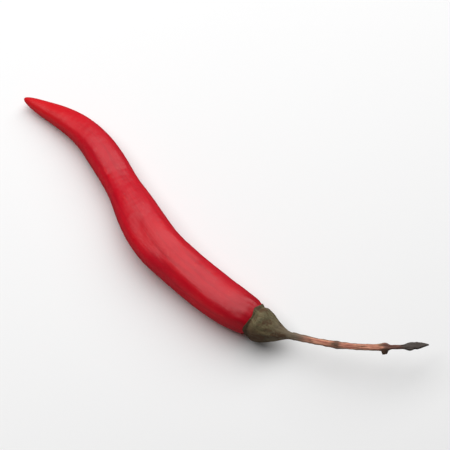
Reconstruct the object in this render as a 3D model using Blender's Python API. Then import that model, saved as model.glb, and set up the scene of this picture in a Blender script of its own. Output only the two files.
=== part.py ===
"""A ripe bird's-eye chilli pepper, as picked, lying on a flat surface.

It is three pieces: the pod, the calyx that caps it, and the stem. Metres, +Z up. The origin is on the
surface, under the middle of the chilli, and +X runs from the tip of the pod to the end of the stem.

One smooth centre line runs through all three pieces. Each piece is first turned as a straight body
standing on Z, where its height is the distance along that line, and is then bent to follow the line.
"""

import math

import bmesh
import bpy
from mathutils import Vector

# Pod. Its length runs along the centre line, from the tip to the rim of the calyx.
POD_LENGTH = 0.0745
POD_RADIUS = 0.0047
POD_FULL_FROM = 0.62  # share of the length where the taper from the tip ends
POD_TAPER = 1.3  # 1 is a plain parabola, more makes the tip fuller
POD_WAIST_AT = 0.42  # a slight waist, as a share of the length
POD_WAIST_WIDTH = 0.10
POD_WAIST_DEPTH = 0.0004
POD_SHOULDER_FROM = 0.86  # share of the length where the shoulder starts to draw in
POD_SHOULDER_RADIUS = 0.0039  # just before the rim of the calyx

# Calyx. A thin cup over the pod's head, then a cone down to the stem.
CALYX_RIM_RADIUS = 0.0038
CALYX_WALL = 0.0005
CALYX_CUP_DEPTH = 0.0032
CALYX_CONE_LENGTH = 0.0068
CALYX_CONE_HOLLOW = 1.35  # 1 is a straight cone, more draws its flanks in
CALYX_RIBS = 5
CALYX_RIB_HEIGHT = 0.00016
CALYX_TOOTH_HEIGHT = 0.0005

# Stem, from the small end of the calyx to its torn tip.
STEM_LENGTH = 0.0282
STEM_RADIUS = 0.00066
STEM_NECK_RADIUS = 0.00085
STEM_NECK_LENGTH = 0.004
STEM_KNOT_FROM_CALYX = 0.0088
STEM_KNOT_LENGTH = 0.0007
STEM_KNOT_HEIGHT = 0.00013
STEM_HEEL_FROM_END = 0.0092
STEM_HEEL_LENGTH = 0.0011  # along the stem, on either side of its middle
STEM_HEEL_HEIGHT = 0.0003
STEM_HEEL_REACH = 0.0011
STEM_BLADE_LENGTH = 0.0075
STEM_BLADE_HALF_WIDTH = 0.00105
STEM_BLADE_HALF_THICKNESS = 0.00055
STEM_BLADE_WIDEST_AT = 0.4  # share of the blade's length
STEM_POINT_RADIUS = 0.00012

# The pieces keep this gap where they meet.
FIT_GAP = 0.0003

# Course of the centre line, seen from above. Angles are from +X, and a turn to the left is positive.
HEADING_AT_TIP = math.radians(5)
POD_TURNS = (  # from and to, as shares of the pod's length, and the angle turned
    (0.07, 0.37, math.radians(-32)),
    (0.50, 0.80, math.radians(20)),
    (0.78, 1.00, math.radians(9)),
)
CALYX_TURN = math.radians(16)
STEM_TURN = math.radians(21)

# Height of the centre line over the surface.
TIP_HEIGHT = 0.0021
STEM_RISE = 0.0040

# Fineness of the meshes.
POD_SIDES = 32
POD_STATIONS = 56
CALYX_SIDES = 40
CALYX_STATIONS = 16
STEM_SIDES = 12
STEM_STATIONS = 48
LINE_STEP = 0.0002

CUP_RADIUS = CALYX_RIM_RADIUS - CALYX_WALL
CALYX_START = POD_LENGTH + FIT_GAP
CALYX_LENGTH = CALYX_CUP_DEPTH + CALYX_CONE_LENGTH
STEM_START = CALYX_START + CALYX_LENGTH + FIT_GAP
LINE_LENGTH = STEM_START + STEM_LENGTH


def ease(share):
    """0 before the share starts, 1 after it ends, and a smooth rise between."""
    share = min(max(share, 0.0), 1.0)
    return share * share * (3 - 2 * share)


def bump(distance, centre, width):
    """1 at the centre, falling away smoothly on both sides."""
    return math.exp(-(((distance - centre) / width) ** 2))


def pod_radius(along):
    """Radius of the pod at this distance from its tip, outside the calyx."""
    share = along / POD_LENGTH
    taper = 1 - max(1 - share / POD_FULL_FROM, 0.0) ** POD_TAPER
    waist = POD_WAIST_DEPTH * bump(share, POD_WAIST_AT, POD_WAIST_WIDTH)
    shoulder = max(share - POD_SHOULDER_FROM, 0.0) / (1 - POD_SHOULDER_FROM)
    return POD_RADIUS * math.sqrt(taper) - waist - (POD_RADIUS - POD_SHOULDER_RADIUS) * shoulder**2


def calyx_radius(along):
    """Radius of the outside of the calyx at this distance from its rim."""
    cone = max(along - CALYX_CUP_DEPTH, 0.0) / CALYX_CONE_LENGTH
    fall = CALYX_RIM_RADIUS - STEM_NECK_RADIUS
    return STEM_NECK_RADIUS + fall * max(1 - cone, 0.0) ** CALYX_CONE_HOLLOW


def stem_radius(along):
    """Radius of the stem at this distance from the calyx, up to where its torn end narrows."""
    neck = (STEM_NECK_RADIUS - STEM_RADIUS) * (1 - ease(along / STEM_NECK_LENGTH))
    knot = STEM_KNOT_HEIGHT * bump(along, STEM_KNOT_FROM_CALYX, STEM_KNOT_LENGTH)
    heel = STEM_HEEL_HEIGHT * bump(along, STEM_LENGTH - STEM_HEEL_FROM_END, STEM_HEEL_LENGTH)
    return STEM_RADIUS + neck + knot + heel


def heading(along):
    """Direction of the centre line seen from above, as an angle from +X."""
    share = along / POD_LENGTH
    past_pod = along - POD_LENGTH
    angle = HEADING_AT_TIP
    for start, end, turn in POD_TURNS:
        angle += turn * ease((share - start) / (end - start))
    angle += CALYX_TURN * ease(past_pod / CALYX_LENGTH)
    return angle + STEM_TURN * ease((past_pod - CALYX_LENGTH) / STEM_LENGTH)


def height(along):
    """Height of the centre line. The pod's underside lies on the surface, its tip and the stem are clear."""
    under = pod_radius(min(along, POD_LENGTH * POD_FULL_FROM))
    bed = (under**8 + TIP_HEIGHT**8) ** (1 / 8)
    return bed + STEM_RISE * ease((along - POD_LENGTH) / (LINE_LENGTH - POD_LENGTH))


def centre_line():
    """Points of the centre line, LINE_STEP apart along it."""
    count = math.ceil(LINE_LENGTH / LINE_STEP) + 1
    points = [Vector((0, 0, height(0)))]
    for i in range(1, count + 1):
        rise = height(i * LINE_STEP) - points[-1].z
        run = math.sqrt(LINE_STEP**2 - rise**2)
        angle = heading((i - 0.5) * LINE_STEP)
        points.append(points[-1] + Vector((run * math.cos(angle), run * math.sin(angle), rise)))
    return points


def frame_on(line, along):
    """The centre, and the directions to the left and up, at this distance along the line."""
    whole = min(max(int(along / LINE_STEP), 0), len(line) - 2)
    start, end = line[whole], line[whole + 1]
    tangent = (end - start).normalized()
    left = Vector((0, 0, 1)).cross(tangent).normalized()
    return start + tangent * (along - whole * LINE_STEP), left, tangent.cross(left)


def turned(profile, sides):
    """A body turned round Z from (height, radius) points. The first and the last are on the axis."""
    bm = bmesh.new()
    verts = [bm.verts.new((radius, 0, level)) for level, radius in profile]
    edges = [bm.edges.new(pair) for pair in zip(verts, verts[1:])]
    bmesh.ops.spin(
        bm,
        geom=verts + edges,
        cent=(0, 0, 0),
        axis=(0, 0, 1),
        angle=math.tau,
        steps=sides,
        use_merge=True,
    )
    bmesh.ops.remove_doubles(bm, verts=bm.verts, dist=1e-7)
    bmesh.ops.recalc_face_normals(bm, faces=bm.faces)
    return bm


def bend(bm, line):
    """Lays a straight body along the centre line: X becomes left, Y up, and Z the distance along."""
    for vert in bm.verts:
        centre, left, up = frame_on(line, vert.co.z)
        vert.co = centre + left * vert.co.x + up * vert.co.y


def dome(radius, start):
    """Profile of the pod's head, or of the cup that holds it, from the rim to the axis."""
    profile = [(start, radius)]
    for i in range(5):
        angle = i / 4 * math.pi / 2
        level = start + CALYX_CUP_DEPTH * 0.5 * (1 + math.sin(angle))
        profile.append((level, radius * (0.5 + 0.5 * math.cos(angle))))
    return profile + [(start + CALYX_CUP_DEPTH, 0)]


def straight_pod():
    """Tip, body and shoulder, then the narrower head that sits inside the calyx."""
    levels = [POD_LENGTH * (i / POD_STATIONS) ** 1.5 for i in range(POD_STATIONS + 1)]
    body = [(level, pod_radius(level)) for level in levels]
    return turned(body + dome(CUP_RADIUS - FIT_GAP, POD_LENGTH), POD_SIDES)


def straight_calyx():
    """The cone from the stem up to the cup, over the rim, and down the inside of the cup."""
    levels = [CALYX_LENGTH * (1 - i / CALYX_STATIONS) for i in range(CALYX_STATIONS + 1)]
    outside = [(CALYX_START + level, calyx_radius(level)) for level in levels]
    return turned([(CALYX_START + CALYX_LENGTH, 0)] + outside + dome(CUP_RADIUS, CALYX_START), CALYX_SIDES)


def shape_calyx(bm):
    """Raises a rib along the outside to each tooth, and cuts the rim back between the teeth."""
    for vert in bm.verts:
        along = vert.co.z - CALYX_START
        radius = math.hypot(vert.co.x, vert.co.y)
        rib = 0.5 + 0.5 * math.cos(CALYX_RIBS * math.atan2(vert.co.y, vert.co.x))
        if radius > calyx_radius(along) - CALYX_WALL / 2:
            grow = 1 + CALYX_RIB_HEIGHT * rib / radius
            vert.co.x *= grow
            vert.co.y *= grow
        vert.co.z += CALYX_TOOTH_HEIGHT * (1 - rib) * (1 - ease(along / CALYX_CUP_DEPTH * 2))


def straight_stem():
    """The stem with its knot and the swelling at its heel, as thick at its end as along the way."""
    levels = [STEM_LENGTH * i / STEM_STATIONS for i in range(STEM_STATIONS + 1)]
    profile = [(0, 0)] + [(level, stem_radius(level)) for level in levels] + [(STEM_LENGTH, 0)]
    return turned([(STEM_START + level, radius) for level, radius in profile], STEM_SIDES)


def draw_out_heel(bm):
    """Pulls the heel's stub out of the swelling, to the right and a little down."""
    heel = STEM_START + STEM_LENGTH - STEM_HEEL_FROM_END
    outward = Vector((-1, -0.35, 0)).normalized()
    chosen = []
    for face in bm.faces:
        close = abs(face.calc_center_median().z - heel) < STEM_HEEL_LENGTH / 2
        if close and face.normal.dot(outward) > 0.6:
            chosen.append(face)
    grown = bmesh.ops.extrude_face_region(bm, geom=chosen)["geom"]
    bmesh.ops.delete(bm, geom=chosen, context="FACES_ONLY")
    stub = [item for item in grown if isinstance(item, bmesh.types.BMVert)]
    middle = sum((vert.co for vert in stub), Vector()) / len(stub)
    for vert in stub:
        vert.co = middle + (vert.co - middle) * 0.7 + outward * STEM_HEEL_REACH


def flatten_end(bm):
    """Spreads the torn end into a flat blade, then brings it to a point."""
    start = STEM_START + STEM_LENGTH - STEM_BLADE_LENGTH
    for vert in bm.verts:
        share = (vert.co.z - start) / STEM_BLADE_LENGTH
        spread = ease(share / STEM_BLADE_WIDEST_AT)
        narrow = ease((share - STEM_BLADE_WIDEST_AT) / (1 - STEM_BLADE_WIDEST_AT))
        for axis, half in ((0, STEM_BLADE_HALF_WIDTH), (1, STEM_BLADE_HALF_THICKNESS)):
            size = STEM_RADIUS + (half - STEM_RADIUS) * spread
            size += (STEM_POINT_RADIUS - size) * narrow
            vert.co[axis] *= size / STEM_RADIUS


def material(name, colour, roughness):
    """A Principled material of one colour."""
    made = bpy.data.materials.new(name)
    made.use_nodes = True
    shader = made.node_tree.nodes["Principled BSDF"]
    shader.inputs["Base Color"].default_value = (*colour, 1)
    shader.inputs["Roughness"].default_value = roughness
    return made


def piece(name, bm, line, finish, parent):
    """The straight body bent along the line, as a named object."""
    bend(bm, line)
    mesh = bpy.data.meshes.new(name)
    bm.to_mesh(mesh)
    bm.free()
    mesh.shade_smooth()
    mesh.set_sharp_from_angle(angle=math.radians(50))
    mesh.materials.append(finish)
    made = bpy.data.objects.new(name, mesh)
    made.parent = parent
    bpy.context.scene.collection.objects.link(made)
    return made


def main():
    for old in list(bpy.data.objects):
        bpy.data.objects.remove(old)
    chilli = bpy.data.objects.new("chilli", None)
    bpy.context.scene.collection.objects.link(chilli)
    line = centre_line()

    pod = piece("pod", straight_pod(), line, material("pod_skin", (0.52, 0.004, 0.012), 0.28), chilli)

    cap = straight_calyx()
    shape_calyx(cap)
    calyx = piece("calyx", cap, line, material("calyx_green", (0.13, 0.14, 0.06), 0.6), chilli)

    stalk = straight_stem()
    draw_out_heel(stalk)
    flatten_end(stalk)
    stem = piece("stem", stalk, line, material("stem_bark", (0.36, 0.20, 0.12), 0.7), chilli)

    # The origin goes on the surface, under the middle of the whole chilli.
    corners = [vert.co for made in (pod, calyx, stem) for vert in made.data.vertices]
    low = Vector([min(axis) for axis in zip(*corners)])
    high = Vector([max(axis) for axis in zip(*corners)])
    middle = (low + high) / 2
    chilli.location = (-middle.x, -middle.y, -low.z)


main()
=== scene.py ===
# %% [markdown]
# # A ripe bird's-eye chilli
#
# A slender red chilli lies on a pale surface. Its pod bends in a gentle S, a dull green calyx caps the
# wide end, and a thin dry stem runs on from it to a dark torn tip.
#
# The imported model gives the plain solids. This lesson grows a finer pod, calyx and stem in the same
# place. All three follow one centre line, so each is first turned straight on the Z axis, where its
# wrinkles and ribs are easy to shape, and only then laid along the line.

import math

import bmesh
import bpy
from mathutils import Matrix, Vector, noise


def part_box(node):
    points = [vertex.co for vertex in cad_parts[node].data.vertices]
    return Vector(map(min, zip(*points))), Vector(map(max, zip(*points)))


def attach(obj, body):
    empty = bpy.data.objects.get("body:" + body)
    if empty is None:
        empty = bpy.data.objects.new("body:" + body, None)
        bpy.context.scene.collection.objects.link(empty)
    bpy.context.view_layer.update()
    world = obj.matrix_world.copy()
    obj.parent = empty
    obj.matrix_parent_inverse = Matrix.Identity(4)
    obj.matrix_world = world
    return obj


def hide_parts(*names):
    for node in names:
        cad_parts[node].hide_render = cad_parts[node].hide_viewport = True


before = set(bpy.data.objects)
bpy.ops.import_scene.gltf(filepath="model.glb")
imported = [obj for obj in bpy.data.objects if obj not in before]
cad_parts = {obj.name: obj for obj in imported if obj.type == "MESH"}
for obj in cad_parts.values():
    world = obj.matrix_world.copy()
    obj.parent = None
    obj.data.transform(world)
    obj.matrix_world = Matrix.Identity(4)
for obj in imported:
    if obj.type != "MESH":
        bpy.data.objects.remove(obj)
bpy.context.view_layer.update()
mm = 0.001

print("packed pieces:", sorted(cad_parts))

# %% [markdown]
# ## Lengths along the chilli
#
# A grower would measure a chilli along its curve, from the blunt tip to the end of the stem. These are
# the lengths of the solids, and everything below is placed by its distance from the tip.

# %% Where each piece starts and ends
pod_length = 74.5 * mm
calyx_length = 10.0 * mm
stem_length = 28.2 * mm
seam = 0.3 * mm

calyx_start = pod_length + seam
stem_start = calyx_start + calyx_length + seam
whole_length = stem_start + stem_length
print("length along the curve in mm:", round(whole_length / mm, 1))


# %% Two soft steps that the shapes are made of
def ease(share):
    """0 before the share starts, 1 after it ends, and a smooth rise between."""
    share = min(max(share, 0.0), 1.0)
    return share * share * (3 - 2 * share)


def bump(distance, centre, width):
    """1 at the centre, falling away smoothly on both sides."""
    return math.exp(-(((distance - centre) / width) ** 2))


# %% [markdown]
# ## The plain girth of the pod
#
# A bird's-eye chilli tapers over more than half its length and has a blunt end. A parabola turned round
# its axis is close to that. A slight waist where the pod first bends, and a shoulder that draws in
# before the calyx, make it this chilli and not a cone.

# %% Radius of the pod along its length
pod_radius = 4.7 * mm
taper_ends = 0.62
taper_fullness = 1.3
waist_at = 0.42
waist_width = 0.10
waist_depth = 0.4 * mm
shoulder_from = 0.86
shoulder_radius = 3.9 * mm


def girth(along):
    """Plain radius of the pod at this distance from its tip."""
    share = min(max(along / pod_length, 0.0), 1.0)
    taper = 1 - max(1 - share / taper_ends, 0.0) ** taper_fullness
    waist = waist_depth * bump(share, waist_at, waist_width)
    shoulder = max(share - shoulder_from, 0.0) / (1 - shoulder_from)
    return pod_radius * math.sqrt(taper) - waist - (pod_radius - shoulder_radius) * shoulder**2


print("radius every 15 mm:", [round(girth(step * 15 * mm) / mm, 2) for step in range(1, 5)])

# %% [markdown]
# ## The centre line
#
# Seen from above, the pod swings right and then back left, and the calyx and stem carry on to the left.
# Seen from the side, the belly lies on the surface, so the line is as high as the pod is thick there,
# while the thin tip and the stem are held clear of it. Small steps that each turn a little draw the line.

# %% Course and height of the centre line
heading_at_tip = math.radians(5)
turns = (
    (0.07 * pod_length, 0.37 * pod_length, math.radians(-32)),
    (0.50 * pod_length, 0.80 * pod_length, math.radians(20)),
    (0.78 * pod_length, pod_length, math.radians(9)),
    (pod_length, pod_length + calyx_length, math.radians(16)),
    (pod_length + calyx_length, pod_length + calyx_length + stem_length, math.radians(21)),
)
tip_height = 2.1 * mm
bed_corner = 8
stem_rise = 4.0 * mm


def heading(along):
    """Direction of the line seen from above."""
    turned = (turn * ease((along - start) / (end - start)) for start, end, turn in turns)
    return heading_at_tip + sum(turned)


def height(along):
    """Height of the line over the surface."""
    under = girth(min(along, taper_ends * pod_length))
    bed = (under**bed_corner + tip_height**bed_corner) ** (1 / bed_corner)
    return bed + stem_rise * ease((along - pod_length) / (whole_length - pod_length))


# %% Walk the line in small steps
line_step = 0.2 * mm
line = [Vector((0, 0, height(0)))]
while len(line) * line_step < whole_length + 2 * line_step:
    along = len(line) * line_step
    rise = height(along) - line[-1].z
    run = math.sqrt(line_step**2 - rise**2)
    course = heading(along - line_step / 2)
    line.append(line[-1] + Vector((run * math.cos(course), run * math.sin(course), rise)))
print("points on the line:", len(line))


def place_on_line(along):
    """The centre, and the directions to the left and up, at this distance from the tip."""
    whole = min(max(int(along / line_step), 0), len(line) - 2)
    tangent = (line[whole + 1] - line[whole]).normalized()
    left = Vector((0, 0, 1)).cross(tangent).normalized()
    return line[whole] + tangent * (along - whole * line_step), left, tangent.cross(left)


# %% [markdown]
# ## Turning a piece, and laying it on the line
#
# The spin operator sweeps a profile of (distance, radius) points all the way round Z. Before a shaped
# piece is bent, each point's straight place is stored on the mesh in millimetres, as the attribute
# "grown". Patterns that read it run along the pod as they would on the plant, whichever way it bends.
#
# Faces have to point outwards. Recalculating the normals makes them agree with each other, but on a long
# bent body it can leave them all pointing in. The volume that they enclose is then less than zero, so
# that is measured, and the faces are reversed where it is.

# %% Spin a profile into a closed body
def turn_piece(profile, sides):
    """A straight body turned round Z. The first and the last point are on the axis."""
    bm = bmesh.new()
    verts = [bm.verts.new((radius, 0, along)) for along, radius in profile]
    edges = [bm.edges.new(pair) for pair in zip(verts, verts[1:])]
    bmesh.ops.spin(
        bm,
        geom=verts + edges,
        cent=(0, 0, 0),
        axis=(0, 0, 1),
        angle=math.tau,
        steps=sides,
        use_merge=True,
    )
    bmesh.ops.remove_doubles(bm, verts=bm.verts, dist=1e-7)
    bmesh.ops.recalc_face_normals(bm, faces=bm.faces)
    return bm


# %% Bend a straight body, and make it an object
def lay_on_line(name, bm, start_of_line=Vector((0, 0, 0))):
    """Stores where each point grew, bends the body along the line, and presses it flat on the surface."""
    grown = bm.verts.layers.float_vector.new("grown")
    for vert in bm.verts:
        vert[grown] = vert.co / mm
        centre, left, up = place_on_line(vert.co.z)
        vert.co = start_of_line + centre + left * vert.co.x + up * vert.co.y
        vert.co.z = max(vert.co.z, 0)
    bmesh.ops.recalc_face_normals(bm, faces=bm.faces)
    if bm.calc_volume(signed=True) < 0:
        bmesh.ops.reverse_faces(bm, faces=bm.faces)
    print(name, "encloses, in cubic mm:", round(bm.calc_volume(signed=True) / mm**3))
    mesh = bpy.data.meshes.new(name)
    bm.to_mesh(mesh)
    bm.free()
    mesh.shade_smooth()
    piece = bpy.data.objects.new(name, mesh)
    bpy.context.scene.collection.objects.link(piece)
    return piece


# %% [markdown]
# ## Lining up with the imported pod
#
# The line above starts at zero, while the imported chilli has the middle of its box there. A bare trial
# pod, bent the same way, shows how far the line has to move, and is then thrown away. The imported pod
# also has a head inside the calyx, so the two are matched at the tip and at their sides.

# %% Find where the line starts
trial = [(step / 100 * pod_length, girth(step / 100 * pod_length)) for step in range(101)]
trial_pod = lay_on_line("trial_pod", turn_piece(trial + [(pod_length, 0)], 64))
corners = [vert.co for vert in trial_pod.data.vertices]
trial_low = Vector([min(axis) for axis in zip(*corners)])
trial_high = Vector([max(axis) for axis in zip(*corners)])
packed_low, packed_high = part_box("pod")
sideways = (packed_low.y + packed_high.y - trial_low.y - trial_high.y) / 2
line_start = Vector((packed_low.x - trial_low.x, sideways, 0))
bpy.data.objects.remove(trial_pod)
print("line starts at, in mm:", [round(value / mm, 2) for value in line_start])
extra_width = (trial_high - trial_low).y - (packed_high - packed_low).y
print("width of trial less packed, in mm:", round(extra_width / mm, 3))

# %% [markdown]
# ## The skin of the pod
#
# A fresh pod is never a perfect turned shape. Three chambers inside push it out along three sides, with
# a flatter face between each two, and they twist a little where the pod folds. The wall has shallow
# dents, the fold has a flat place with a swelling beside it, the inside of each bend has small creases,
# and the shoulder is puckered where it tucks under the calyx. All of this is a rise or a fall of the
# skin at a distance from the tip and an angle around the pod, so one function gives it, and the calyx
# can ask the same function where the skin is. The flat faces matter most to the look: they catch the
# light from above as one broad soft band.

# %% Rise and fall of the skin
chambers = 3
chamber_rise = 0.19 * mm
chamber_turn = 1.1
chamber_turn_at_fold = 1.4
fold_at = 0.64 * pod_length
fold_length = 10 * mm
dent_depth, dent_width, dent_length, dent_shift = 0.20 * mm, 5.5, 11, 3.7
ripple_depth, ripple_width, ripple_length = 0.07 * mm, 2.2, 4
crinkle_depth, crinkle_width, crinkle_length = 0.025 * mm, 2.5, 0.9
puckers = 13
pucker_depth = 0.055 * mm
pucker_at = pod_length - 0.6 * mm
pucker_length = 2 * mm
smooth_tip = 14 * mm
tuck_length = 2.6 * mm
tuck_start = pod_length - 1.6 * mm
tuck_depth = 0.9 * mm
# distance from the tip, angle around, depth, length along and reach around of each crease
creases = (
    (0.365 * pod_length, math.radians(186), 0.07 * mm, 0.45 * mm, 0.7),
    (0.393 * pod_length, math.radians(172), 0.11 * mm, 0.55 * mm, 0.9),
    (0.425 * pod_length, math.radians(190), 0.09 * mm, 0.50 * mm, 0.8),
    (0.455 * pod_length, math.radians(165), 0.05 * mm, 0.40 * mm, 0.6),
    (0.640 * pod_length, math.radians(12), 0.06 * mm, 0.60 * mm, 0.7),
    (0.700 * pod_length, math.radians(-8), 0.07 * mm, 0.60 * mm, 0.8),
)
# the same for broad flat places, and for swellings, whose depth is less than zero
flats = (
    (0.300 * pod_length, math.radians(208), -0.22 * mm, 5.0 * mm, 0.60),
    (0.610 * pod_length, math.radians(124), 0.28 * mm, 7.0 * mm, 0.42),
    (0.610 * pod_length, math.radians(167), -0.60 * mm, 7.5 * mm, 0.42),
    (0.745 * pod_length, math.radians(150), 0.10 * mm, 2.6 * mm, 0.35),
    (0.905 * pod_length, math.radians(70), 0.12 * mm, 4.0 * mm, 0.50),
)


def turn_between(angle, other):
    """Smallest turn from one angle to another."""
    return (angle - other + math.pi) % math.tau - math.pi


def uneven(spot, width, length, shift=0.0):
    """Noise whose swellings are about so wide and so long, in millimetres."""
    return noise.noise(Vector((spot.x / width, spot.y / width, spot.z / length + shift)))


def skin(along, around):
    """Distance of the pod's skin from the centre line."""
    plain = girth(along)
    spot = Vector((plain * math.cos(around), plain * math.sin(around), along)) / mm
    twist = chamber_turn + chamber_turn_at_fold * bump(along, fold_at, fold_length)
    walls = chamber_rise * math.cos(chambers * around - twist)
    dents = dent_depth * uneven(spot, dent_width, dent_length, dent_shift)
    ripples = ripple_depth * uneven(spot, ripple_width, ripple_length)
    crinkles = crinkle_depth * uneven(spot, crinkle_width, crinkle_length)
    waver = 2.2 * noise.noise(spot / 3)
    pucker = pucker_depth * math.cos(puckers * around + waver) * bump(along, pucker_at, pucker_length)
    crease = 0
    for at, side, depth, length, reach in creases:
        drift = 0.5 * mm * math.sin(2.3 * around + at / mm)
        crease += depth * bump(along + drift, at, length) * bump(turn_between(around, side), 0, reach)
    for at, side, depth, length, reach in flats:
        crease += depth * bump(along, at, length) * bump(turn_between(around, side), 0, reach)
    tucked = min(max((along - tuck_start) / tuck_length, 0.0), 1.0)
    tuck = tuck_depth * (1 - math.sqrt(1 - tucked**2))
    rises = walls + dents + ripples + crinkles + pucker - crease
    return plain - tuck + rises * ease(along / smooth_tip)


# %% [markdown]
# The body is turned with many sides and stations, so that the creases are real furrows in the mesh. The
# stations crowd together at the tip, which is as blunt as a fingertip. The head inside the calyx is only
# closed off, because the calyx hides it.

# %% Pod
pod_sides = 120
pod_stations = 330
crowding = 1.45
skin_ends = pod_length + 1.1 * mm
head_height = 2.0 * mm

levels = [pod_length * (step / pod_stations) ** crowding for step in range(pod_stations + 1)]
profile = [(level, girth(level)) for level in levels]
profile += [(pod_length + tuck * mm / 4, girth(pod_length)) for tuck in range(1, 5)]
profile += [(pod_length + 0.7 * head_height, 0.55 * shoulder_radius), (pod_length + head_height, 0)]
pod_bm = turn_piece(profile, pod_sides)

for vert in pod_bm.verts:
    plain = math.hypot(vert.co.x, vert.co.y)
    if plain > 0 and vert.co.z < skin_ends:
        grow = skin(vert.co.z, math.atan2(vert.co.y, vert.co.x)) / plain
        vert.co.x *= grow
        vert.co.y *= grow

pod = lay_on_line("chilli_pod", pod_bm, line_start)
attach(pod, "root")
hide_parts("pod")
print("pod triangles:", sum(len(face.vertices) - 2 for face in pod.data.polygons))

# %% [markdown]
# ## The calyx
#
# The calyx is what is left of the flower's base: a thin leathery cup with five small teeth that lie on
# the pod's shoulder, a rib that runs from each tooth towards the stem, and a cone that narrows to the
# stem. It sits a little askew, so its rim leans back on one side. Its lip has to hug the skin, so the
# turned cup is shaped by asking the skin function where the pod is under each point, and adding the
# thickness of the lip.

# %% Calyx shape
rim_radius = 3.8 * mm
cup_swelling = 0.18 * mm
cup_swelling_at = 2.0 * mm
cup_swelling_length = 1.5 * mm
cone_from = 2.3 * mm
cone_slope = 0.52
neck_radius = 0.74 * mm
neck_corner = 5
shoulder_corner = 9
lip_thickness = 0.20 * mm
lip_inside = 3.4 * mm
lip_gap = 0.015 * mm
lip_hugs_for = 2.2 * mm
tooth_length = 0.55 * mm
tooth_half_angle = 0.30
teeth_fade_over = 3.2 * mm
rim_lean = 0.45 * mm
rim_leans_to = math.radians(115)
rib_rise = 0.13 * mm
rib_half_angle = 0.17
fine_rib_rise = 0.030 * mm
fine_ribs_around = 17
cork_rise, cork_size = 0.07 * mm, 1.6
grit_rise, grit_size = 0.025 * mm, 0.5
teeth = (
    # angle around, and length and width as shares of the ordinary
    (math.radians(8), 0.35, 1.2),
    (math.radians(75), 1.0, 1.1),
    (math.radians(152), 0.7, 0.9),
    (math.radians(214), 1.3, 1.2),
    (math.radians(289), 0.9, 1.0),
)


def tooth_at(around):
    """How far the rim reaches towards the tip here, in shares of an ordinary tooth."""
    reach = 0
    for side, length, width in teeth:
        reach = max(reach, length * bump(turn_between(around, side), 0, tooth_half_angle * width))
    return reach


def rib_at(around):
    """1 on the rib behind each tooth, 0 between ribs."""
    return max(bump(turn_between(around, side), 0, rib_half_angle) for side, length, width in teeth)


def calyx_radius(past_rim):
    """Plain radius of the outside of the calyx: a cup, a straight cone and a neck, with rounded corners."""
    cup = rim_radius + cup_swelling * bump(past_rim, cup_swelling_at, cup_swelling_length)
    cone = max(1.03 * rim_radius - cone_slope * (past_rim - cone_from), 0.1 * mm)
    cone = (cone**neck_corner + neck_radius**neck_corner) ** (1 / neck_corner)
    return (cup**-shoulder_corner + cone**-shoulder_corner) ** (-1 / shoulder_corner)


# %% Calyx
calyx_sides = 160
calyx_stations = 90

levels = [calyx_length * (1 - step / calyx_stations) for step in range(calyx_stations + 1)]
profile = [(calyx_length + 0.25 * mm, 0), (calyx_length + 0.25 * mm, 0.5 * neck_radius)]
profile += [(level, calyx_radius(level)) for level in levels]
profile += [(-0.06 * mm, 0.65 * rim_radius + 0.35 * lip_inside), (0, lip_inside)]
profile += [(0.4 * mm, lip_inside), (0.8 * mm, lip_inside), (1.6 * mm, 0.7 * lip_inside), (1.8 * mm, 0)]
calyx_bm = turn_piece(profile, calyx_sides)

for vert in calyx_bm.verts:
    past_rim = vert.co.z
    plain = math.hypot(vert.co.x, vert.co.y)
    inside = plain < 1.01 * lip_inside and past_rim < 2 * mm
    around = math.atan2(vert.co.y, vert.co.x)
    spot = vert.co / mm
    ragged = 0.30 * noise.noise(Vector((2.5 * math.cos(around), 2.5 * math.sin(around), 1.3)))
    reach = tooth_length * (tooth_at(around) + ragged - 0.15) - rim_lean * math.cos(around - rim_leans_to)
    along = calyx_start + past_rim - reach * (1 - ease(past_rim / teeth_fade_over))
    vert.co.z = along
    if plain < 0.6 * neck_radius:
        continue

    rib = rib_rise * rib_at(around) * ease(past_rim / (2.0 * mm))
    rib *= 1 - 0.5 * ease(past_rim / calyx_length)
    fine_ribs = fine_rib_rise * math.cos(fine_ribs_around * around + 1.5 * noise.noise(spot / 2))
    corkiness = cork_rise * noise.noise(spot / cork_size) + grit_rise * noise.noise(spot / grit_size)
    shrink = min(plain / rim_radius + 0.15, 1.0)
    free = plain + (rib + fine_ribs + corkiness) * shrink

    across_lip = min(max((plain - lip_inside) / (rim_radius - lip_inside), 0.0), 1.0)
    thin = 1 - 0.45 * tooth_at(around)
    hugging = skin(along, around) + lip_gap + across_lip * lip_thickness * thin + 0.3 * fine_ribs
    if inside:
        radius = hugging if plain > 0.9 * lip_inside else plain
    else:
        radius = hugging + (free - hugging) * ease(past_rim / lip_hugs_for)
    vert.co.x *= radius / plain
    vert.co.y *= radius / plain

calyx = lay_on_line("chilli_calyx", calyx_bm, line_start)
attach(calyx, "root")
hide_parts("calyx")
print("calyx triangles:", sum(len(face.vertices) - 2 for face in calyx.data.polygons))

# %% [markdown]
# ## The stem
#
# The stem is a thin dry stalk with five blunt ridges that wind slowly round it. It has a knot on the
# way, then a swelling with a short stub to one side, where another stalk was torn off. Past that it is
# withered and thinner, and it ends in a flat, dark, torn blade. The stub is drawn out of the swelling by
# extruding a patch of faces in steps, each smaller than the last.

# %% Stem shape
stem_radius = 0.66 * mm
neck_length = 4.0 * mm
knot_at = stem_start + 8.8 * mm
heel_at = stem_start + stem_length - 9.2 * mm
blade_length = 5.6 * mm
blade_start = stem_start + stem_length - blade_length
blade_half_width = 0.95 * mm
blade_half_thickness = 0.42 * mm
blade_point = 0.13 * mm
blade_widest_at = 0.32
blade_lean = 0.22 * mm
withered_radius = 0.44 * mm
withers_over = 1.6 * mm
heel_rise, heel_length = 0.26 * mm, 0.9 * mm
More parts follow.
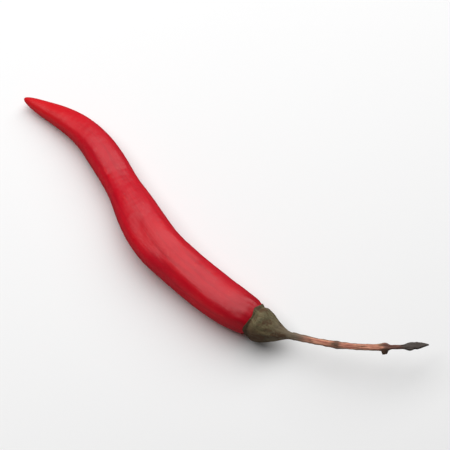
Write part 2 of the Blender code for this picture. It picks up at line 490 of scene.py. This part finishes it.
# height and length of the knot itself, and of the slope up to it
knot_rise, knot_length = 0.15 * mm, 0.6 * mm
knot_slope_rise, knot_slope_length = 0.05 * mm, 1.8 * mm


def stalk_radius(along):
    """Plain radius of the stem before the blade is flattened."""
    past_calyx = along - stem_start
    neck = (neck_radius - stem_radius) * (1 - ease(past_calyx / neck_length))
    knot = knot_rise * bump(along, knot_at, knot_length)
    knot += knot_slope_rise * bump(along, knot_at, knot_slope_length)
    swelling = heel_rise * bump(along, heel_at, heel_length)
    withered = (stem_radius - withered_radius) * ease((along - heel_at) / withers_over)
    return stem_radius + neck + knot + swelling - withered


# %% Stem
stem_sides = 60
stem_stations = 290
stem_inside_calyx = 1.0 * mm
stub_direction = Vector((-1, -0.35, 0)).normalized()
stub_half_length = 0.75 * mm
stub_facing = 0.45
stub_steps = (0.22 * mm, 0.18 * mm, 0.16 * mm, 0.08 * mm)
stub_narrows = 0.88

levels = [
    stem_start - stem_inside_calyx + (stem_length + stem_inside_calyx) * step / stem_stations
    for step in range(stem_stations + 1)
]
profile = [(levels[0], 0)] + [(level, stalk_radius(level)) for level in levels] + [(levels[-1], 0)]
stem_bm = turn_piece(profile, stem_sides)

patch = [
    face
    for face in stem_bm.faces
    if abs(face.calc_center_median().z - heel_at) < stub_half_length
    and face.normal.dot(stub_direction) > stub_facing
]
for stub_step in stub_steps:
    grown_out = bmesh.ops.extrude_face_region(stem_bm, geom=patch)["geom"]
    bmesh.ops.delete(stem_bm, geom=patch, context="FACES_ONLY")
    patch = [item for item in grown_out if isinstance(item, bmesh.types.BMFace)]
    rim = {vert for face in patch for vert in face.verts}
    middle = sum((vert.co for vert in rim), Vector()) / len(rim)
    for vert in rim:
        vert.co = middle + (vert.co - middle) * stub_narrows + stub_direction * stub_step

for vert in stem_bm.verts:
    spot = vert.co / mm
    around = math.atan2(vert.co.y, vert.co.x)
    share = (vert.co.z - blade_start) / blade_length
    ridges = 0.075 * math.cos(5 * around + 0.12 * spot.z) + 0.03 * math.cos(11 * around - 0.2 * spot.z)
    bark = 0.16 * noise.noise(Vector((spot.x, spot.y, 0.45 * spot.z)) / 0.5)
    torn = 0.30 * noise.noise(Vector((0.8 * spot.x, 0, 1.3 * spot.z))) * ease(share / 0.3)
    spread = ease(share / blade_widest_at)
    narrow = max((share - blade_widest_at) / (1 - blade_widest_at), 0.0) ** 1.7
    for axis, half in ((0, blade_half_width), (1, blade_half_thickness)):
        size = withered_radius + (half - withered_radius) * spread
        size += (blade_point - size) * narrow
        vert.co[axis] *= (1 + ridges + bark + torn * (1 - axis) * (1 - narrow)) * size / withered_radius
    vert.co.x += blade_lean * ease(share)

stem = lay_on_line("chilli_stem", stem_bm, line_start)
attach(stem, "root")
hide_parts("stem")
print("stem triangles:", sum(len(face.vertices) - 2 for face in stem.data.polygons))

# %% [markdown]
# ## Helpers for the finishes
#
# Each finish is a Principled shader whose colour, roughness and bump come from patterns. The patterns
# read the attribute "grown", which is in millimetres, so a scale of 1 makes features about 1 mm wide.


# %% Start a finish, and add nodes to it
def start_finish(name, piece):
    """A new material on the piece. Returns its node tree, its shader, and where each point grew."""
    finish = bpy.data.materials.new(name)
    finish.use_nodes = True
    tree = finish.node_tree
    piece.data.materials.append(finish)
    grown = tree.nodes.new("ShaderNodeAttribute")
    grown.attribute_name = "grown"
    return tree, tree.nodes["Principled BSDF"], grown.outputs["Vector"]


def connect(tree, socket, value):
    """Links a socket to another, or sets it to a value."""
    if isinstance(value, bpy.types.NodeSocket):
        tree.links.new(value, socket)
    else:
        socket.default_value = value


def speckle(tree, where, stretch=(1, 1, 1), scale=1.0, detail=3.0, roughness=0.5, distortion=0.0):
    """Noise with its middle at about 0.5, on coordinates that a Mapping node squeezes."""
    mapping = tree.nodes.new("ShaderNodeMapping")
    mapping.inputs["Scale"].default_value = stretch
    tree.links.new(where, mapping.inputs["Vector"])
    pattern = tree.nodes.new("ShaderNodeTexNoise")
    tree.links.new(mapping.outputs["Vector"], pattern.inputs["Vector"])
    pattern.inputs["Scale"].default_value = scale
    pattern.inputs["Detail"].default_value = detail
    pattern.inputs["Roughness"].default_value = roughness
    pattern.inputs["Distortion"].default_value = distortion
    return pattern.outputs["Fac"]


def fade(tree, value, low, high, out_low=0.0, out_high=1.0):
    """Turns the range low to high of a value smoothly into the range out_low to out_high."""
    step = tree.nodes.new("ShaderNodeMapRange")
    step.interpolation_type = "SMOOTHSTEP"
    connect(tree, step.inputs["Value"], value)
    step.inputs["From Min"].default_value = low
    step.inputs["From Max"].default_value = high
    step.inputs["To Min"].default_value = out_low
    step.inputs["To Max"].default_value = out_high
    return step.outputs["Result"]


def reckon(tree, operation, first, second=0.5):
    """A Math node."""
    step = tree.nodes.new("ShaderNodeMath")
    step.operation = operation
    connect(tree, step.inputs[0], first)
    connect(tree, step.inputs[1], second)
    return step.outputs["Value"]


def tint(tree, share, under, over):
    """Mixes two colours: share 0 gives the one under, 1 the one over."""
    step = tree.nodes.new("ShaderNodeMix")
    step.data_type = "RGBA"
    sockets = [socket for socket in step.inputs if socket.enabled]
    for socket, value in zip(sockets, (share, under, over)):
        connect(tree, socket, value)
    return next(socket for socket in step.outputs if socket.enabled)


def split(tree, where):
    """The three parts of a place: to the left, up, and along, in millimetres."""
    parts = tree.nodes.new("ShaderNodeSeparateXYZ")
    tree.links.new(where, parts.inputs["Vector"])
    return parts.outputs["X"], parts.outputs["Y"], parts.outputs["Z"]


def relief(tree, height, depth, under=None):
    """A Bump node. The height runs from 0 to 1, and the depth is in metres."""
    step = tree.nodes.new("ShaderNodeBump")
    step.inputs["Distance"].default_value = depth
    tree.links.new(height, step.inputs["Height"])
    if under is not None:
        tree.links.new(under, step.inputs["Normal"])
    return step.outputs["Normal"]


# %% [markdown]
# ## Skin of the pod
#
# Ripe skin is crimson and a little waxy. It is redder and warmer at the thin tip, darker at the
# shoulder, and slightly streaked and freckled along its length, because it grew in that direction. The
# streaks are noise squeezed along the pod. The wax gives a broad soft shine and no sharp glint, so the
# roughness is in the middle and varies in patches where the skin has been handled. The coat is faint.

# %% Colours of the pod
crimson = (0.53, 0.0018, 0.014, 1)
wine = (0.29, 0.0008, 0.008, 1)
scarlet = (0.66, 0.004, 0.012, 1)
orange_red = (0.64, 0.010, 0.012, 1)
freckle = (0.74, 0.085, 0.050, 1)

# %% Pod skin
tree, shader, grown = start_finish("pod_skin_ripe", pod)
left, up, along = split(tree, grown)

blotches = fade(tree, speckle(tree, grown, (1, 1, 0.45), 0.16, 3), 0.38, 0.64)
streaks = fade(tree, speckle(tree, grown, (1, 1, 0.06), 1.3, 4, 0.6), 0.42, 0.70)
colour = tint(tree, reckon(tree, "MULTIPLY", blotches, 0.55), crimson, scarlet)
colour = tint(tree, reckon(tree, "MULTIPLY", streaks, 0.30), colour, wine)
blotched_along = reckon(tree, "ADD", along, reckon(tree, "MULTIPLY", blotches, 5))
near_tip = fade(tree, blotched_along, 4, 24, 0.7, 0)
colour = tint(tree, near_tip, colour, orange_red)
near_calyx = fade(tree, along, pod_length / mm - 7, pod_length / mm - 1, 0, 0.5)
colour = tint(tree, near_calyx, colour, wine)
freckles = fade(tree, speckle(tree, grown, (1, 1, 0.55), 1.5, 2, 0.4), 0.62, 0.78, 0, 0.14)
colour = tint(tree, freckles, colour, freckle)
connect(tree, shader.inputs["Base Color"], colour)

handled = speckle(tree, grown, (1, 1, 0.6), 0.35, 4, 0.6)
connect(tree, shader.inputs["Roughness"], fade(tree, handled, 0.35, 0.68, 0.33, 0.44))
shader.inputs["Coat Weight"].default_value = 0.08
shader.inputs["Coat Roughness"].default_value = 0.22
shader.inputs["Specular IOR Level"].default_value = 0.25

peel = relief(tree, speckle(tree, grown, (1, 1, 0.7), 3.2, 3, 0.55), 0.018 * mm)
fibres = relief(tree, speckle(tree, grown, (1, 1, 0.05), 2.6, 3, 0.5), 0.020 * mm, peel)
waves = relief(tree, speckle(tree, grown, (1, 1, 0.5), 0.75, 2, 0.5), 0.08 * mm, fibres)
connect(tree, shader.inputs["Normal"], waves)
print("pod skin nodes:", len(tree.nodes))

# %% [markdown]
# ## Leather of the calyx
#
# The calyx is the first piece to age. It is a dull olive green, greyer towards the stem, with corky
# brown patches and a dark lip, and its lower side is darkened brown as painted shade. It hardly shines,
# and its surface is grainy, so it gets a strong fine bump and a high roughness.

# %% Colours of the calyx
olive = (0.165, 0.133, 0.064, 1)
moss = (0.088, 0.074, 0.034, 1)
grey_bark = (0.160, 0.118, 0.080, 1)
# brown of the corky patches, also used for the painted shade on the calyx's lower side
cork_and_shade_brown = (0.085, 0.042, 0.020, 1)
burnt_lip = (0.030, 0.016, 0.009, 1)

# %% Calyx leather
tree, shader, grown = start_finish("calyx_leather", calyx)
left, up, along = split(tree, grown)
past_rim = reckon(tree, "SUBTRACT", along, calyx_start / mm)

mottle = fade(tree, speckle(tree, grown, (1, 1, 0.6), 0.9, 4, 0.65), 0.40, 0.62)
veins = fade(tree, speckle(tree, grown, (1, 1, 0.10), 2.2, 3, 0.55), 0.48, 0.66)
patches = speckle(tree, grown, (1, 1, 0.7), 0.75, 5, 0.7, 0.4)
colour = tint(tree, mottle, moss, olive)
colour = tint(tree, reckon(tree, "MULTIPLY", veins, 0.45), colour, moss)
colour = tint(tree, fade(tree, past_rim, 3.0, 9.0, 0, 0.75), colour, grey_bark)
colour = tint(tree, fade(tree, patches, 0.48, 0.58, 0, 0.85), colour, cork_and_shade_brown)
ragged_past_rim = reckon(tree, "ADD", past_rim, reckon(tree, "MULTIPLY", patches, 1.6))
lip = fade(tree, ragged_past_rim, 0.1, 1.6, 0.9, 0)
colour = tint(tree, lip, colour, burnt_lip)
# painted shade: the lower side of the calyx is darkened towards brown, most strongly near the rim
shaded = reckon(tree, "ADD", reckon(tree, "MULTIPLY", up, 0.5), reckon(tree, "MULTIPLY", left, 0.85))
calyx_low_side_shade = fade(tree, shaded, -2.6, 0.4, 1, 0)
calyx_painted_shade = reckon(tree, "MULTIPLY", calyx_low_side_shade, fade(tree, past_rim, 1.0, 6.0, 0.85, 0.3))
colour = tint(tree, calyx_painted_shade, colour, cork_and_shade_brown)
connect(tree, shader.inputs["Base Color"], colour)

shader.inputs["Specular IOR Level"].default_value = 0.3
connect(tree, shader.inputs["Roughness"], fade(tree, patches, 0.35, 0.65, 0.55, 0.85))
grain = relief(tree, speckle(tree, grown, (1, 1, 0.6), 4.5, 4, 0.65), 0.07 * mm)
wrinkles = relief(tree, speckle(tree, grown, (1, 1, 0.12), 2.4, 3, 0.55), 0.12 * mm, grain)
connect(tree, shader.inputs["Normal"], wrinkles)
print("calyx leather nodes:", len(tree.nodes))

# %% [markdown]
# ## Bark of the stem
#
# The stem has dried to a pale pinkish tan with olive brown patches. Its upper side is left pale and its
# lower side is darkened to olive brown: painted light and shade. It starts with the grey of the calyx, so
# that the two run into each other. The knot and the stub are dark, the withered part is brown, and the
# torn end is almost black.

# %% Colours of the stem
tan = (0.46, 0.150, 0.095, 1)
pale_tan = (0.72, 0.33, 0.21, 1)
olive_brown = (0.15, 0.095, 0.045, 1)
knot_brown = (0.085, 0.042, 0.022, 1)
withered_brown = (0.150, 0.060, 0.040, 1)
torn_black = (0.052, 0.038, 0.030, 1)

# %% Stem bark
tree, shader, grown = start_finish("stem_bark_dry", stem)
left, up, along = split(tree, grown)

fibre = speckle(tree, grown, (1, 1, 0.12), 3.5, 4, 0.6)
weathering = speckle(tree, grown, (1, 1, 0.35), 0.9, 4, 0.6)
colour = tint(tree, fade(tree, fibre, 0.40, 0.62), tan, pale_tan)
colour = tint(tree, fade(tree, weathering, 0.50, 0.66, 0, 0.8), colour, olive_brown)
# painted light and shade: the upper side stays pale tan and the lower side is darkened to olive brown
upward_part = reckon(tree, "MULTIPLY", up, 0.9)
painted_lit_side = reckon(tree, "SUBTRACT", upward_part, reckon(tree, "MULTIPLY", left, 0.42))
colour = tint(tree, fade(tree, painted_lit_side, 0.05, 0.48, 0.9, 0), colour, olive_brown)
from_calyx = fade(tree, along, stem_start / mm - 0.5, stem_start / mm + 5.0, 1, 0)
colour = tint(tree, from_calyx, colour, grey_bark)
from_knot = reckon(tree, "ABSOLUTE", reckon(tree, "SUBTRACT", along, knot_at / mm))
colour = tint(tree, fade(tree, from_knot, 0.2, 1.3, 0.85, 0), colour, knot_brown)
from_heel = reckon(tree, "ABSOLUTE", reckon(tree, "SUBTRACT", along, heel_at / mm))
ragged_along = reckon(tree, "ADD", along, reckon(tree, "MULTIPLY", weathering, 3))
past_heel = fade(tree, ragged_along, heel_at / mm + 0.9, heel_at / mm + 2.0)
colour = tint(tree, past_heel, colour, withered_brown)
on_blade = fade(tree, ragged_along, blade_start / mm + 0.4, blade_start / mm + 2.4)
colour = tint(tree, on_blade, colour, torn_black)
near_heel = fade(tree, from_heel, 0.8, 1.6, 1, 0)
on_stub = reckon(tree, "MULTIPLY", near_heel, fade(tree, left, -0.85, -0.45, 1, 0))
colour = tint(tree, on_stub, colour, knot_brown)
connect(tree, shader.inputs["Base Color"], colour)

connect(tree, shader.inputs["Roughness"], fade(tree, fibre, 0.3, 0.7, 0.55, 0.85))
ridging = relief(tree, fibre, 0.10 * mm)
grit = relief(tree, speckle(tree, grown, (1, 1, 1), 6, 3), 0.03 * mm, ridging)
connect(tree, shader.inputs["Normal"], grit)
print("stem bark nodes:", len(tree.nodes))

# %% [markdown]
# ## The surface, the light and the camera
#
# The chilli lies on a plain pale surface, in a nearly dark room. One long soft panel hangs flat over it
# and reaches far behind it, and makes the broad shine along the top of the pod. The surface is kept out
# of reflections, because so pale a surface would put a pink rim on the low side of the pod. The camera
# looks down at sixty degrees, from the side that shows the pod's S and the whole stem. Its lens is very
# long and it stands far back, so the chilli is seen with almost no perspective.

# %% Pale surface
floor_bm = bmesh.new()
bmesh.ops.create_grid(floor_bm, x_segments=1, y_segments=1, size=3.0)
floor_mesh = bpy.data.meshes.new("pale_surface")
floor_bm.to_mesh(floor_mesh)
floor_bm.free()
floor = bpy.data.objects.new("pale_surface", floor_mesh)
bpy.context.scene.collection.objects.link(floor)
floor.visible_glossy = False

paper = bpy.data.materials.new("pale_paper")
paper.use_nodes = True
paper_shader = paper.node_tree.nodes["Principled BSDF"]
paper_shader.inputs["Base Color"].default_value = (0.86, 0.86, 0.86, 1)
paper_shader.inputs["Roughness"].default_value = 0.9
paper_shader.inputs["Specular IOR Level"].default_value = 0.1
floor.data.materials.append(paper)

# %% Light
world = bpy.data.worlds.new("pale_room")
world.use_nodes = True
world.node_tree.nodes["Background"].inputs["Color"].default_value = (1.0, 1.0, 1.0, 1)
world.node_tree.nodes["Background"].inputs["Strength"].default_value = 0.05
bpy.context.scene.world = world


def overhead_panel(name, place, turn, width, depth, watts):
    """A flat panel of light that faces straight down, turned about the vertical."""
    lamp = bpy.data.lights.new(name, "AREA")
    lamp.shape = "RECTANGLE"
    lamp.size = width
    lamp.size_y = depth
    lamp.energy = watts
    light = bpy.data.objects.new(name, lamp)
    light.location = place
    light.rotation_euler = (0, 0, turn)
    bpy.context.scene.collection.objects.link(light)


panel_place = (-0.10, 0.52, 0.50)
panel_turn = math.radians(-12)
overhead_panel("overhead_softbox", panel_place, panel_turn, width=0.50, depth=1.70, watts=8.65)

# %% Camera
azimuth = math.radians(37)
elevation = math.radians(60)
lens = 1000
fill = 0.90

to_right = Vector((math.cos(azimuth), math.sin(azimuth), 0))
backward = Vector((
    math.sin(azimuth) * math.cos(elevation),
    -math.cos(azimuth) * math.cos(elevation),
    math.sin(elevation),
))
upward = backward.cross(to_right)
points = [vert.co for piece in (pod, calyx, stem) for vert in piece.data.vertices]


def span(direction):
    """Lowest and highest reach of the chilli in a direction."""
    reaches = [point.dot(direction) for point in points]
    return min(reaches), max(reaches)


centre = sum((direction * sum(span(direction)) / 2 for direction in (to_right, upward, backward)), Vector())
widest = max(high - low for low, high in (span(to_right), span(upward)))
camera_data = bpy.data.cameras.new("camera")
camera_data.lens = lens
distance = widest / fill * lens / camera_data.sensor_width
camera = bpy.data.objects.new("camera", camera_data)
camera.location = centre + backward * distance
camera.rotation_euler = (-backward).to_track_quat("-Z", "Y").to_euler()
camera_data.clip_start = 0.01
bpy.context.scene.collection.objects.link(camera)
bpy.context.scene.camera = camera
bpy.context.scene.view_settings.view_transform = "Standard"
print("camera distance in mm:", round(distance / mm))
